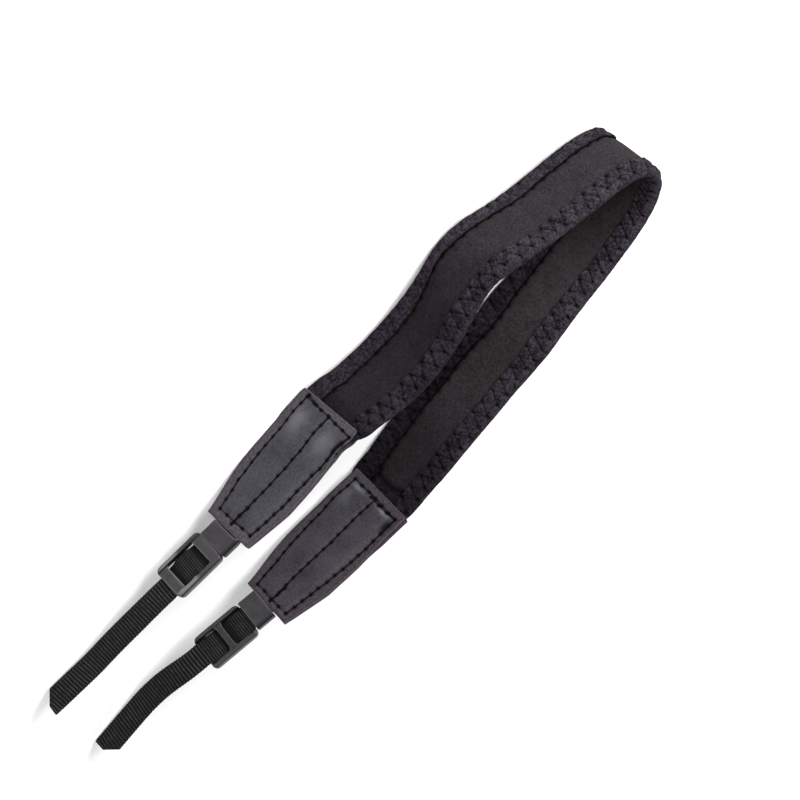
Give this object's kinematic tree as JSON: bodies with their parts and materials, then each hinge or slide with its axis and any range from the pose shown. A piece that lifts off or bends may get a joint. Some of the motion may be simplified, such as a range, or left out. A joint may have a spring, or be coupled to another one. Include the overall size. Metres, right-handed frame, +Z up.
{
  "type": "binocular strap",
  "caption": "Padded neoprene neck strap for binoculars, folded in a long loop, with leather end tabs, keeper sleeves, sliders and narrow webbing tails",
  "frame": {"origin": "middle of the strap's box in X and Y, on the surface it stands on", "axes": "+X from the folded end of the neck band towards the free ends of the webbing; +Y from leg a to leg b; +Z up, across the width of the band, which stands on its edge"},
  "size_m": [0.3098, 0.0698, 0.034],
  "materials": {
    "neoprene": "matte knit-faced foam rubber",
    "binding": "matte sewn knit binding",
    "leather": "satin, stitched",
    "plastic": "semi-gloss moulded",
    "webbing": "matte ribbed weave"
  },
  "bodies": {
    "root": {"neoprene_band": "neoprene", "binding_lower": "binding", "binding_upper": "binding", "tab_a_front": "leather", "tab_a_back": "leather", "tab_b_front": "leather", "tab_b_back": "leather", "keeper_a": "plastic", "keeper_b": "plastic", "slider_a": "plastic", "slider_b": "plastic", "webbing_a": "webbing", "webbing_b": "webbing"}
  },
  "joints": []
}
